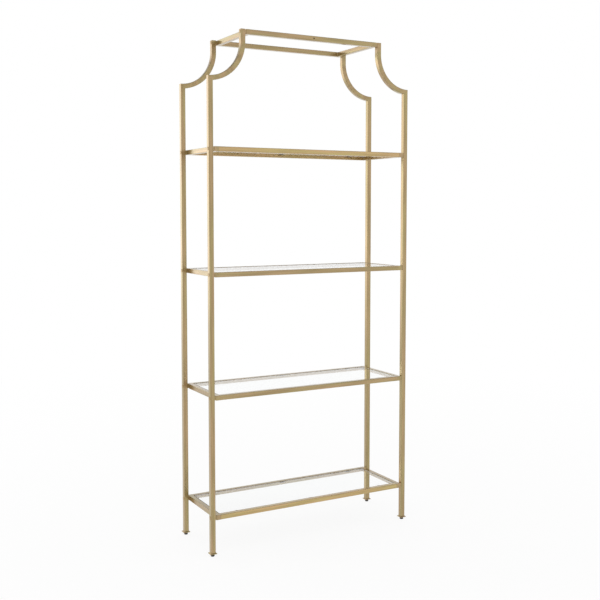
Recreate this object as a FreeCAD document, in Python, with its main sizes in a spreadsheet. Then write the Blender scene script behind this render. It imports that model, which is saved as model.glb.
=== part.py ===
import FreeCAD, Part
import os
import Sketcher
from FreeCAD import Placement, Rotation, Vector

# Etagere of satin gold square tube: four uprights that curve inward near the top, four shelf
# frames and a smaller top frame bolted between them, and four loose glass shelves.
# Millimetres, +Z up, +X to the right, +Y to the back, origin on the floor below the centre.

# Driving sizes, one sheet cell each
SIZES = (
    ("overall_width", 914.0),
    ("overall_depth", 296.0),
    ("overall_height", 2036.0),
    ("tube_size", 19.0),
    ("tube_wall", 1.2),
    ("tube_corner_radius", 1.4),
    ("end_cap_thickness", 2.0),
    ("arch_radius", 136.0),
    ("stub_length", 46.0),
    ("mitre_overcut", 6.0),
    ("lowest_shelf_height", 162.0),
    ("second_shelf_drop", 5.0),
    ("third_shelf_drop", 4.0),
    ("top_bay_height", 449.0),
    ("anchor_hole_diameter", 6.0),
    ("spacer_thickness", 4.0),
    ("spacer_size", 16.0),
    ("bolt_diameter", 6.0),
    ("bolt_length", 20.0),
    ("bolt_head_diameter", 10.5),
    ("bolt_head_height", 3.3),
    ("bolt_head_crown", 6.2),
    ("bolt_socket_flats", 4.0),
    ("bolt_socket_depth", 2.0),
    ("bolt_hole_clearance", 0.3),
    ("thread_clearance", 0.05),
    ("nut_flange_diameter", 11.0),
    ("nut_flange_thickness", 0.8),
    ("nut_sleeve_diameter", 9.0),
    ("nut_length", 13.0),
    ("nut_hole_clearance", 0.05),
    ("nut_flange_clearance", 0.3),
    ("access_hole_diameter", 11.6),
    ("plug_flange_diameter", 14.0),
    ("plug_flange_thickness", 1.0),
    ("plug_depth", 5.0),
    ("plug_wall", 1.2),
    ("plug_clearance", 0.05),
    ("glass_thickness", 5.0),
    ("glass_clearance", 2.0),
    ("glass_set_down", 1.0),
    ("glass_corner_radius", 3.0),
    ("pad_diameter", 8.0),
    ("pad_thickness", 1.5),
    ("pad_edge_radius", 0.4),
    ("pad_setback", 6.6),
    ("tab_length", 24.0),
    ("tab_reach", 11.0),
    ("tab_thickness", 3.0),
    ("tab_corner_radius", 4.0),
    ("tab_end_distance", 78.0),
    ("plate_size", 28.0),
    ("plate_thickness", 3.0),
    ("plate_corner_radius", 2.0),
    ("plate_hole_clearance", 0.3),
    ("glide_diameter", 15.0),
    ("glide_height", 10.0),
    ("glide_chamfer", 1.2),
    ("glide_floor", 2.0),
    ("stud_diameter", 8.0),
    ("stud_length", 34.0),
    ("stud_chamfer", 1.0),
    ("leveller_nut_flats", 13.0),
    ("leveller_nut_height", 6.5),
)

SIDES = (("left", -1), ("right", 1))
DEPTHS = (("front", -1), ("rear", 1))

doc = FreeCAD.newDocument("etagere")
sheet = doc.addObject("Spreadsheet::Sheet", "Sizes")
for row, (alias, size) in enumerate(SIZES, start=1):
    sheet.set("A%d" % row, alias)
    sheet.set("B%d" % row, str(size))
    sheet.setAlias("B%d" % row, alias)
doc.recompute()

# Places that several pieces share, each worked out from the driving sizes
HALF_TUBE = "Sizes.tube_size / 2"
INNER_TUBE = "(Sizes.tube_size - 2 * Sizes.tube_wall)"
POST_X = "(Sizes.overall_width / 2 - Sizes.tube_size / 2)"
POST_Y = "(Sizes.overall_depth / 2 - Sizes.tube_size / 2)"
POST_BOTTOM = "(Sizes.glide_height + Sizes.plate_thickness)"
ARCH_CENTRE_HEIGHT = "(Sizes.overall_height - Sizes.end_cap_thickness - Sizes.stub_length)"
ARCH_OUTER_RADIUS = "(Sizes.arch_radius + Sizes.tube_size)"
POST_LENGTH = "(%s - Sizes.arch_radius - %s)" % (ARCH_CENTRE_HEIGHT, POST_BOTTOM)
MITRE_DEPTH = "sqrt(%s ^ 2 - Sizes.tube_size ^ 2)" % ARCH_OUTER_RADIUS
STUB_X = "(Sizes.overall_width / 2 - Sizes.arch_radius - Sizes.tube_size / 2)"
SHELF_RAIL_X = "(%s - Sizes.tube_size - Sizes.spacer_thickness)" % POST_X
TOP_RAIL_X = "(%s - Sizes.tube_size - Sizes.spacer_thickness)" % STUB_X
SIDE_RAIL_LENGTH = "(Sizes.overall_depth - 2 * Sizes.end_cap_thickness)"
TOP_RAIL_HEIGHT = "(Sizes.overall_height - Sizes.tube_size / 2)"
HIGHEST_SHELF = "(Sizes.overall_height - Sizes.top_bay_height)"
SHELF_STEP = "((%s - Sizes.lowest_shelf_height) / 3)" % HIGHEST_SHELF
GLASS_BASE_DROP = "(Sizes.glass_set_down + Sizes.glass_thickness)"
TAB_X = "(%s - Sizes.tube_size / 2 - Sizes.tab_end_distance)" % SHELF_RAIL_X
RAIL_INNER_Y = "(Sizes.overall_depth / 2 - Sizes.tube_size)"
BOLT_HOLE_RADIUS = "(Sizes.bolt_diameter / 2 + Sizes.bolt_hole_clearance)"
NUT_HOLE_RADIUS = "(Sizes.nut_sleeve_diameter / 2 + Sizes.nut_hole_clearance)"
THREAD_RADIUS = "(Sizes.bolt_diameter / 2 + Sizes.thread_clearance)"
ACCESS_RADIUS = "(Sizes.access_hole_diameter / 2)"
STUD_BORE_RADIUS = "(Sizes.stud_diameter / 2 + Sizes.thread_clearance)"

# Shelf frames from the floor up, each with the height of its upper face: the middle two hang a
# little below an even spread
SHELVES = (
    ("shelf_1", "Sizes.lowest_shelf_height"),
    ("shelf_2", "(Sizes.lowest_shelf_height + %s - Sizes.second_shelf_drop)" % SHELF_STEP),
    ("shelf_3", "(Sizes.lowest_shelf_height + 2 * %s - Sizes.third_shelf_drop)" % SHELF_STEP),
    ("shelf_4", HIGHEST_SHELF),
)


def value(expression):
    """Return an expression of sheet sizes as a plain number."""
    result = sheet.evalExpression(expression)
    return float(getattr(result, "Value", result))


def rail_centre(top):
    """Return the height of a tube's centre, from the expression for its upper face."""
    return "(%s - Sizes.tube_size / 2)" % top


# Sketch and body helpers
def new_body(label):
    """Return a new body with its own label."""
    body = doc.addObject("PartDesign::Body", "Body_" + label)
    body.Label = label
    return body


def new_sketch(body, plane, name):
    """Return a sketch on one of the body's origin planes, such as XY_Plane."""
    sketch = body.newObject("Sketcher::SketchObject", body.Label + "_" + name)
    planes = [feature for feature in body.Origin.OriginFeatures if feature.Role == plane]
    sketch.AttachmentSupport = [(planes[0], "")]
    sketch.MapMode = "FlatFace"
    return sketch


def bind(sketch, constraint, name, expression):
    """Add a named sketch constraint and bind it to an expression."""
    index = sketch.addConstraint(constraint)
    sketch.renameConstraint(index, name)
    sketch.setExpression("Constraints." + name, expression)


def pin_point(sketch, point, name, x, y):
    """Hold a point, given as (geometry, vertex), at the expressions x and y from the origin."""
    for axis, expression in (("X", x), ("Y", y)):
        distance = value(expression)
        if abs(distance) < 1e-9:
            axis_line = -2 if axis == "X" else -1
            sketch.addConstraint(Sketcher.Constraint("PointOnObject", point[0], point[1], axis_line))
        elif distance > 0:
            constraint = Sketcher.Constraint("Distance" + axis, -1, 1, point[0], point[1], distance)
            bind(sketch, constraint, name + axis, expression)
        else:
            constraint = Sketcher.Constraint("Distance" + axis, point[0], point[1], -1, 1, -distance)
            bind(sketch, constraint, name + axis, "-(%s)" % expression)


def add_polygon(sketch, name, corners):
    """Draw a closed outline of straight sides through corners given as pairs of expressions."""
    points = [Vector(value(x), value(y), 0) for x, y in corners]
    first = sketch.GeometryCount
    count = len(points)
    for index in range(count):
        sketch.addGeometry(Part.LineSegment(points[index], points[(index + 1) % count]))
    for index in range(count):
        following = first + (index + 1) % count
        sketch.addConstraint(Sketcher.Constraint("Coincident", first + index, 2, following, 1))
    for index, (x, y) in enumerate(corners):
        pin_point(sketch, (first + index, 1), "%s_%d_" % (name, index), x, y)


def add_rectangle(sketch, name, left, bottom, right, top):
    """Draw a rectangle between the expressions of its four sides."""
    add_polygon(sketch, name, ((left, bottom), (right, bottom), (right, top), (left, top)))


def add_circle(sketch, name, x, y, radius):
    """Draw a circle held at x, y with a bound radius."""
    centre = Vector(value(x), value(y), 0)
    geometry = sketch.addGeometry(Part.Circle(centre, Vector(0, 0, 1), value(radius)))
    pin_point(sketch, (geometry, 3), name + "_centre_", x, y)
    bind(sketch, Sketcher.Constraint("Radius", geometry, value(radius)), name + "_radius", radius)


def add_hexagon(sketch, name, flats):
    """Draw a hexagon about the origin, two corners on the sketch's X axis, bound across its flats."""
    corner = "(%s) / sqrt(3)" % flats
    half = "(%s) / sqrt(3) / 2" % flats
    rise = "(%s) / 2" % flats
    corners = (
        (corner, "0"),
        (half, rise),
        ("-(%s)" % half, rise),
        ("-(%s)" % corner, "0"),
        ("-(%s)" % half, "-(%s)" % rise),
        (half, "-(%s)" % rise),
    )
    add_polygon(sketch, name, corners)


def add_tube_section(sketch, centre_x):
    """Draw the hollow square section of the tube, centred on the sketch's X axis at centre_x."""
    for name, size in (("outer", "Sizes.tube_size"), ("inner", INNER_TUBE)):
        left = "%s - %s / 2" % (centre_x, size)
        right = "%s + %s / 2" % (centre_x, size)
        half = "%s / 2" % size
        add_rectangle(sketch, name, left, "-(%s)" % half, right, half)


def pad(body, sketch, name, length):
    """Pad a sketch along its normal by a bound length."""
    feature = body.newObject("PartDesign::Pad", body.Label + "_" + name)
    feature.Profile = sketch
    feature.setExpression("Length", length)
    sketch.Visibility = False
    doc.recompute()
    return feature


def revolve(body, sketch, name, angle=360.0):
    """Revolve a sketch about its own vertical axis."""
    feature = body.newObject("PartDesign::Revolution", body.Label + "_" + name)
    feature.Profile = sketch
    feature.ReferenceAxis = (sketch, ["V_Axis"])
    feature.Angle = angle
    sketch.Visibility = False
    doc.recompute()
    return feature


def pocket(body, sketch, name, towards_normal=False, both_ways=False, depth=None):
    """Cut a sketch through the body, or to a bound depth, and check that it removed material."""
    before = body.Shape.Volume
    feature = body.newObject("PartDesign::Pocket", body.Label + "_" + name)
    feature.Profile = sketch
    feature.Reversed = towards_normal
    feature.Midplane = both_ways
    if depth is None:
        feature.Type = "ThroughAll"
    else:
        feature.setExpression("Length", depth)
    sketch.Visibility = False
    doc.recompute()
    if body.Shape.Volume > before - 1e-6:
        raise RuntimeError("cut %s removed nothing" % feature.Name)
    return feature


def fillet(body, name, radius, chosen):
    """Round the edges of the body that the test chosen accepts, by a bound radius."""
    base = body.Tip
    names = ["Edge%d" % (i + 1) for i, edge in enumerate(base.Shape.Edges) if chosen(edge)]
    feature = body.newObject("PartDesign::Fillet", body.Label + "_" + name)
    feature.Base = (base, names)
    feature.setExpression("Radius", radius)
    doc.recompute()
    return feature


def place(item, x, y, z, rotation=Rotation()):
    """Set an object's rotation and bind the three coordinates of its origin."""
    item.Placement = Placement(Vector(value(x), value(y), value(z)), rotation)
    for axis, expression in (("x", x), ("y", y), ("z", z)):
        item.setExpression(".Placement.Base." + axis, expression)


def signed(sign, expression):
    """Return an expression with the sign of the side that it is on."""
    return expression if sign > 0 else "-(%s)" % expression


# Ways that a piece modelled along its own Z axis is turned
UPRIGHT = Rotation()
HALF_TURN = Rotation(Vector(0, 0, 1), 180)
ALONG_X = Rotation(Vector(0, 1, 0), 90)
AGAINST_X = Rotation(Vector(0, 1, 0), -90)
ALONG_Y = Rotation(Vector(1, 0, 0), -90)
AGAINST_Y = Rotation(Vector(1, 0, 0), 90)


def facing(sign):
    """Return the turn that points a left-hand piece's inner side to the middle, on either side."""
    return UPRIGHT if sign < 0 else HALF_TURN


def pointing_inward(sign):
    """Return the turn that points a piece's own Z axis from its side to the middle, along X."""
    return ALONG_X if sign < 0 else AGAINST_X


def is_tube_edge(edge):
    """Tell whether an edge runs along a tube's outer corner, straight or curved."""
    half = value("Sizes.tube_size") / 2
    size = value("Sizes.tube_size")
    middle = edge.valueAt((edge.FirstParameter + edge.LastParameter) / 2)
    outer_side = abs(abs(middle.y) - half) < 1e-4
    return outer_side and edge.Length > 1.5 * size


# Tubes
def tube_body(label, length):
    """Return a body of straight square tube along its own Z axis, its outer corners rounded."""
    body = new_body(label)
    section = new_sketch(body, "XY_Plane", "section")
    add_tube_section(section, "0")
    pad(body, section, "tube", length)
    fillet(body, "corners", "Sizes.tube_corner_radius", is_tube_edge)
    return body


def bolt_holes(body, heights, radius, name, inner_side):
    """Drill round holes through one of a tube's own X walls, at heights along its axis."""
    sketch = new_sketch(body, "YZ_Plane", name)
    for index, height in enumerate(heights):
        add_circle(sketch, "hole_%d" % index, "0", height, radius)
    pocket(body, sketch, name + "_cut", towards_normal=inner_side)


def build_post(label, side, depth):
    """Build one straight post with its bolt and access holes and its mitred top."""
    body = tube_body(label, POST_LENGTH)
    heights = ["%s - %s" % (rail_centre(top), POST_BOTTOM) for _, top in SHELVES]
    bolt_holes(body, heights, BOLT_HOLE_RADIUS, "bolt_holes", True)
    bolt_holes(body, heights, ACCESS_RADIUS, "access_holes", False)
    mitre = new_sketch(body, "XZ_Plane", "mitre")
    inner_top = "%s - (%s - Sizes.arch_radius)" % (POST_LENGTH, MITRE_DEPTH)
    corners = (("-" + HALF_TUBE, POST_LENGTH), (HALF_TUBE, inner_top), (HALF_TUBE, POST_LENGTH))
    add_polygon(mitre, "mitre", corners)
    pocket(body, mitre, "mitre_cut", both_ways=True)
    place(body, signed(side, POST_X), signed(depth, POST_Y), POST_BOTTOM, facing(side))
    return body


def build_arch(label, side, depth):
    """Build one arch: a quarter circle of tube from the post's mitre up to a short straight stub."""
    body = new_body(label)
    middle = "(Sizes.arch_radius + Sizes.tube_size / 2)"
    stub = new_sketch(body, "XY_Plane", "stub_section")
    add_tube_section(stub, middle)
    pad(body, stub, "stub", "Sizes.stub_length")
    bend = new_sketch(body, "XY_Plane", "bend_section")
    add_tube_section(bend, middle)
    revolve(body, bend, "bend", 90.0)
    fillet(body, "corners", "Sizes.tube_corner_radius", is_tube_edge)
    height = "%s - %s" % (TOP_RAIL_HEIGHT, ARCH_CENTRE_HEIGHT)
    bolt_hole = new_sketch(body, "YZ_Plane", "bolt_hole")
    add_circle(bolt_hole, "hole", "0", height, BOLT_HOLE_RADIUS)
    bolt_hole.setExpression(".AttachmentOffset.Base.z", middle)
    pocket(body, bolt_hole, "bolt_hole_cut", towards_normal=True)
    access = new_sketch(body, "YZ_Plane", "access_hole")
    add_circle(access, "hole", "0", height, ACCESS_RADIUS)
    access.setExpression(".AttachmentOffset.Base.z", middle)
    pocket(body, access, "access_hole_cut")
    mitre = new_sketch(body, "XZ_Plane", "mitre")
    overcut = "-(%s + Sizes.mitre_overcut)" % ARCH_OUTER_RADIUS
    corners = (("0", "-Sizes.arch_radius"), ("0", overcut), ("Sizes.tube_size", "-(%s)" % MITRE_DEPTH))
    add_polygon(mitre, "mitre", corners)
    pocket(body, mitre, "mitre_cut", both_ways=True)
    outer_face = "(Sizes.overall_width / 2)"
    place(body, signed(side, outer_face), signed(depth, POST_Y), ARCH_CENTRE_HEIGHT, facing(side))
    return body


def build_side_rail(label, side, rail_x, height):
    """Build one full-depth side rail with a nut hole near each end of its outer wall."""
    body = tube_body(label, SIDE_RAIL_LENGTH)
    first = HALF_TUBE + " - Sizes.end_cap_thickness"
    last = "%s - (%s)" % (SIDE_RAIL_LENGTH, first)
    bolt_holes(body, (first, last), NUT_HOLE_RADIUS, "nut_holes", side > 0)
    start = "-(Sizes.overall_depth / 2 - Sizes.end_cap_thickness)"
    place(body, signed(side, rail_x), start, height, ALONG_Y)
    return body


def build_cross_rail(label, depth, rail_x, height, anchor_hole):
    """Build one front or rear rail between the side rails, its outer wall drilled where asked."""
    length = "2 * (%s - Sizes.tube_size / 2)" % rail_x
    body = tube_body(label, length)
    if anchor_hole:
        sketch = new_sketch(body, "XZ_Plane", "anchor_hole")
        add_circle(sketch, "anchor", "0", "(%s) / 2" % length, "Sizes.anchor_hole_diameter / 2")
        pocket(body, sketch, "anchor_cut", towards_normal=depth < 0)
    start = "-(%s - Sizes.tube_size / 2)" % rail_x
    place(body, start, signed(depth, POST_Y), height, ALONG_X)
    return body


# Glass shelves
def is_upright_edge(edge):
    """Tell whether an edge is straight and runs along Z."""
    direction = edge.valueAt(edge.LastParameter) - edge.valueAt(edge.FirstParameter)
    return abs(direction.x) < 1e-6 and abs(direction.y) < 1e-6 and direction.Length > 1e-6


def build_glass(label, top):
    """Build one loose glass shelf with rounded corners, inside a frame whose upper face is at top."""
    body = new_body(label)
    outline = new_sketch(body, "XY_Plane", "outline")
    half_x = "(%s - Sizes.tube_size / 2 - Sizes.glass_clearance)" % SHELF_RAIL_X
    half_y = "(%s - Sizes.glass_clearance)" % RAIL_INNER_Y
    add_rectangle(outline, "outline", "-" + half_x, "-" + half_y, half_x, half_y)
    pad(body, outline, "pane", "Sizes.glass_thickness")
    fillet(body, "corners", "Sizes.glass_corner_radius", is_upright_edge)
    place(body, "0", "0", "%s - %s" % (top, GLASS_BASE_DROP))
    return body


# Patterns of the small pieces, each modelled once at its own origin
def tab_pattern():
    """Return a welded tab that carries the glass: it reaches along Y from a rail at Y = 0."""
    body = new_body("tab_pattern")
    outline = new_sketch(body, "XY_Plane", "outline")
    half = "(Sizes.tab_length / 2)"
    add_rectangle(outline, "outline", "-" + half, "0", half, "Sizes.tab_reach")
    pad(body, outline, "plate", "Sizes.tab_thickness")
    reach = value("Sizes.tab_reach")

    def is_free_corner(edge):
        return is_upright_edge(edge) and abs(edge.valueAt(edge.FirstParameter).y - reach) < 1e-6

    fillet(body, "corners", "Sizes.tab_corner_radius", is_free_corner)
    return body


def pad_pattern():
    """Return a soft round pad that sits on a tab, its upper edge rounded."""
    body = new_body("pad_pattern")
    outline = new_sketch(body, "XY_Plane", "outline")
    add_circle(outline, "pad", "0", "0", "Sizes.pad_diameter / 2")
    pad(body, outline, "disc", "Sizes.pad_thickness")
    top = value("Sizes.pad_thickness")

    def is_top_rim(edge):
        return abs(edge.CenterOfMass.z - top) < 1e-6

    fillet(body, "rim", "Sizes.pad_edge_radius", is_top_rim)
    return body


def cap_pattern():
    """Return a welded plate that closes a tube end, with the tube's rounded corners."""
    body = new_body("cap_pattern")
    outline = new_sketch(body, "XY_Plane", "outline")
    add_rectangle(outline, "outline", "-" + HALF_TUBE, "-" + HALF_TUBE, HALF_TUBE, HALF_TUBE)
    pad(body, outline, "plate", "Sizes.end_cap_thickness")
    fillet(body, "corners", "Sizes.tube_corner_radius", is_upright_edge)
    return body


def spacer_pattern():
    """Return a square spacer whose bore clears the rivet nut's flange."""
    body = new_body("spacer_pattern")
    outline = new_sketch(body, "XY_Plane", "outline")
    half = "(Sizes.spacer_size / 2)"
    add_rectangle(outline, "outline", "-" + half, "-" + half, half, half)
    bore = "Sizes.nut_flange_diameter / 2 + Sizes.nut_flange_clearance"
    add_circle(outline, "bore", "0", "0", bore)
    pad(body, outline, "block", "Sizes.spacer_thickness")
    return body


def bolt_pattern():
    """Return a domed socket bolt: its head stands below Z = 0 and its shank points along Z."""
    body = new_body("bolt_pattern")
    outline = new_sketch(body, "XZ_Plane", "outline")
    shank = "Sizes.bolt_diameter / 2"
    head = "Sizes.bolt_head_diameter / 2"
    crown = "Sizes.bolt_head_crown / 2"
    top = "-Sizes.bolt_head_height"
    corners = (
        ("0", "Sizes.bolt_length"),
        (shank, "Sizes.bolt_length"),
        (shank, "0"),
        (head, "0"),
        (head, "%s / 3" % top),
        (crown, top),
        ("0", top),
    )
    add_polygon(outline, "bolt", corners)
    revolve(body, outline, "bolt")
    socket = new_sketch(body, "XY_Plane", "socket")
    add_hexagon(socket, "socket", "Sizes.bolt_socket_flats")
    socket.setExpression(".AttachmentOffset.Base.z", top)
    pocket(body, socket, "socket_cut", towards_normal=True, depth="Sizes.bolt_socket_depth")
    return body


def rivet_nut_pattern():
    """Return a rivet nut: its flange stands below Z = 0 and its threaded sleeve points along Z."""
    body = new_body("rivet_nut_pattern")
    outline = new_sketch(body, "XZ_Plane", "outline")
    flange = "Sizes.nut_flange_diameter / 2"
    sleeve = "Sizes.nut_sleeve_diameter / 2"
    corners = (
        (THREAD_RADIUS, "-Sizes.nut_flange_thickness"),
        (flange, "-Sizes.nut_flange_thickness"),
        (flange, "0"),
        (sleeve, "0"),
        (sleeve, "Sizes.nut_length"),
        (THREAD_RADIUS, "Sizes.nut_length"),
    )
    add_polygon(outline, "nut", corners)
    revolve(body, outline, "nut")
    return body


def plug_pattern():
    """Return a push-in plug for an access hole: a thin cap below Z = 0 and a hollow stem along Z."""
    body = new_body("plug_pattern")
    outline = new_sketch(body, "XZ_Plane", "outline")
    flange = "Sizes.plug_flange_diameter / 2"
    stem = "(%s - Sizes.plug_clearance)" % ACCESS_RADIUS
    bore = "(%s - Sizes.plug_wall)" % stem
    rim = "-Sizes.plug_flange_thickness"
    corners = (
        ("0", rim),
        ("%s - Sizes.plug_flange_thickness / 2" % flange, rim),
        (flange, "%s / 2" % rim),
        (flange, "0"),
        (stem, "0"),
        (stem, "Sizes.plug_depth"),
        (bore, "Sizes.plug_depth"),
        (bore, "0"),
        ("0", "0"),
    )
    add_polygon(outline, "plug", corners)
    revolve(body, outline, "plug")
    return body


def leveller_nut_pattern():
    """Return a hexagon nut that is welded on a foot plate inside the post."""
    body = new_body("leveller_nut_pattern")
    outline = new_sketch(body, "XY_Plane", "outline")
    add_hexagon(outline, "flats", "Sizes.leveller_nut_flats")
    add_circle(outline, "thread", "0", "0", STUD_BORE_RADIUS)
    pad(body, outline, "nut", "Sizes.leveller_nut_height")
    return body


# Feet
def build_foot_plate(label, side, depth):
    """Build one square foot plate below a post, with the hole for its leveller."""
    body = new_body(label)
    outline = new_sketch(body, "XY_Plane", "outline")
    half = "(Sizes.plate_size / 2)"
    add_rectangle(outline, "outline", "-" + half, "-" + half, half, half)
    hole = "Sizes.stud_diameter / 2 + Sizes.plate_hole_clearance"
    add_circle(outline, "hole", "0", "0", hole)
    pad(body, outline, "plate", "Sizes.plate_thickness")
    corner = value(half)

    def is_plate_corner(edge):
        return is_upright_edge(edge) and abs(abs(edge.valueAt(edge.FirstParameter).x) - corner) < 1e-6

    fillet(body, "corners", "Sizes.plate_corner_radius", is_plate_corner)
    place(body, signed(side, POST_X), signed(depth, POST_Y), "Sizes.glide_height")
    return body


def build_glide(label, side, depth):
    """Build one round glide that stands on the floor, with the socket for its stud."""
    body = new_body(label)
    outline = new_sketch(body, "XZ_Plane", "outline")
    radius = "Sizes.glide_diameter / 2"
    corners = (
        ("0", "0"),
        ("%s - Sizes.glide_chamfer" % radius, "0"),
        (radius, "Sizes.glide_chamfer"),
        (radius, "Sizes.glide_height"),
        (STUD_BORE_RADIUS, "Sizes.glide_height"),
        (STUD_BORE_RADIUS, "Sizes.glide_floor"),
        ("0", "Sizes.glide_floor"),
    )
    add_polygon(outline, "glide", corners)
    revolve(body, outline, "glide")
    place(body, signed(side, POST_X), signed(depth, POST_Y), "0")
    return body


def build_stud(label, side, depth):
    """Build one leveller stud, moulded into its glide and screwed up through the foot plate."""
    body = new_body(label)
    outline = new_sketch(body, "XZ_Plane", "outline")
    radius = "Sizes.stud_diameter / 2"
    corners = (
        ("0", "0"),
        (radius, "0"),
        (radius, "Sizes.stud_length - Sizes.stud_chamfer"),
        ("%s - Sizes.stud_chamfer" % radius, "Sizes.stud_length"),
        ("0", "Sizes.stud_length"),
    )
    add_polygon(outline, "stud", corners)
    revolve(body, outline, "stud")
    place(body, signed(side, POST_X), signed(depth, POST_Y), "Sizes.glide_floor")
    return body


def group(label, pattern, places):
    """Return one object that holds a copy of a pattern's solid at each place."""
    solids = []
    for position in places:
        solid = pattern.Shape.copy()
        solid.Placement = position
        solids.append(solid)
    item = doc.addObject("Part::Feature", "Group_" + label)
    item.Shape = Part.makeCompound(solids)
    item.Label = label
    item.Placement = Placement()
    return item


def corner_places(shift):
    """Return a place at every frame corner, shifted inward along X from the upright's outer face."""
    frames = [(POST_X, rail_centre(top)) for _, top in SHELVES]
    frames.append((STUB_X, TOP_RAIL_HEIGHT))
    places = []
    for x, height in frames:
        for _, side in SIDES:
            for _, depth in DEPTHS:
                inward = side * (value(x) + value(HALF_TUBE) - value(shift))
                base = Vector(inward, depth * value(POST_Y), value(height))
                places.append(Placement(base, pointing_inward(side)))
    return places


def cap_places():
    """Return a place for each closed tube end: both ends of every side rail and the four stubs."""
    places = []
    frames = [(SHELF_RAIL_X, rail_centre(top)) for _, top in SHELVES]
    frames.append((TOP_RAIL_X, TOP_RAIL_HEIGHT))
    tube_end = value("Sizes.overall_depth / 2 - Sizes.end_cap_thickness")
    stub_end = value("Sizes.overall_height - Sizes.end_cap_thickness")
    for _, side in SIDES:
        for _, depth in DEPTHS:
            turn = ALONG_Y if depth > 0 else AGAINST_Y
            for x, height in frames:
                base = Vector(side * value(x), depth * tube_end, value(height))
                places.append(Placement(base, turn))
            base = Vector(side * value(STUB_X), depth * value(POST_Y), stub_end)
            places.append(Placement(base, UPRIGHT))
    return places


def tab_places(top, setback, lift):
    """Return a place by each tab of a shelf, setback from its rail and lift above its underside."""
    height = value("%s - %s" % (top, GLASS_BASE_DROP))
    height += value(lift) - value("Sizes.pad_thickness + Sizes.tab_thickness")
    places = []
    for _, depth in DEPTHS:
        turn = HALF_TURN if depth > 0 else UPRIGHT
        for step in (-1, 0, 1):
            y = depth * (value(RAIL_INNER_Y) - value(setback))
            places.append(Placement(Vector(step * value(TAB_X), y, height), turn))
    return places


def foot_places(height):
    """Return a place on each post's centre line at the expression height."""
    places = []
    for _, side in SIDES:
        for _, depth in DEPTHS:
            base = Vector(side * value(POST_X), depth * value(POST_Y), value(height))
            places.append(Placement(base, UPRIGHT))
    return places


# The whole object, sub-assembly by sub-assembly
pieces = []

for depth_name, depth_sign in DEPTHS:
    for side_name, side_sign in SIDES:
        corner_name = "%s_%s" % (depth_name, side_name)
        pieces.append(build_post("post_" + corner_name, side_sign, depth_sign))
        pieces.append(build_arch("arch_" + corner_name, side_sign, depth_sign))
        pieces.append(build_foot_plate("foot_plate_" + corner_name, side_sign, depth_sign))
        pieces.append(build_glide("glide_" + corner_name, side_sign, depth_sign))
        pieces.append(build_stud("leveller_stud_" + corner_name, side_sign, depth_sign))

tab = tab_pattern()
soft_pad = pad_pattern()

for shelf_name, shelf_top in SHELVES:
    rail_height = rail_centre(shelf_top)
    for side_name, side_sign in SIDES:
        rail_name = "%s_%s_rail" % (shelf_name, side_name)
        pieces.append(build_side_rail(rail_name, side_sign, SHELF_RAIL_X, rail_height))
    for depth_name, depth_sign in DEPTHS:
        rail_name = "%s_%s_rail" % (shelf_name, depth_name)
        pieces.append(build_cross_rail(rail_name, depth_sign, SHELF_RAIL_X, rail_height, False))
    pieces.append(build_glass(shelf_name + "_glass", shelf_top))
    pieces.append(group(shelf_name + "_glass_tabs", tab, tab_places(shelf_top, "0", "0")))
    pad_spots = tab_places(shelf_top, "Sizes.pad_setback", "Sizes.tab_thickness")
    pieces.append(group(shelf_name + "_glass_pads", soft_pad, pad_spots))

for side_name, side_sign in SIDES:
    rail_name = "top_" + side_name + "_rail"
    pieces.append(build_side_rail(rail_name, side_sign, TOP_RAIL_X, TOP_RAIL_HEIGHT))
for depth_name, depth_sign in DEPTHS:
    rail_name = "top_" + depth_name + "_rail"
    pieces.append(build_cross_rail(rail_name, depth_sign, TOP_RAIL_X, TOP_RAIL_HEIGHT, True))

TO_BOLT_SEAT = "Sizes.tube_size - Sizes.tube_wall"
TO_RAIL_FACE = "Sizes.tube_size + Sizes.spacer_thickness"

pieces.append(group("tube_end_caps", cap_pattern(), cap_places()))
pieces.append(group("corner_spacers", spacer_pattern(), corner_places("Sizes.tube_size")))
pieces.append(group("corner_bolts", bolt_pattern(), corner_places(TO_BOLT_SEAT)))
pieces.append(group("rivet_nuts", rivet_nut_pattern(), corner_places(TO_RAIL_FACE)))
pieces.append(group("access_plugs", plug_pattern(), corner_places("0")))
pieces.append(group("leveller_nuts", leveller_nut_pattern(), foot_places(POST_BOTTOM)))

doc.recompute()

# Nothing is written unless every object and every piece is sound
for item in doc.Objects:
    if "Invalid" in item.State or "Error" in item.State:
        raise RuntimeError("%s failed: %s" % (item.Name, item.State))
for piece in pieces:
    if piece.Shape.isNull() or not piece.Shape.isValid():
        raise RuntimeError("%s has no valid shape" % piece.Label)

os.makedirs("parts", exist_ok=True)
for piece in pieces:
    piece.Shape.exportStep("parts/%s.step" % piece.Label)
print("%d pieces written" % len(pieces))
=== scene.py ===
import logging
import math
from dataclasses import dataclass, replace
from enum import Enum
from typing import Callable, Sequence

import bmesh
import bpy
from mathutils import Matrix, Vector


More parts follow.
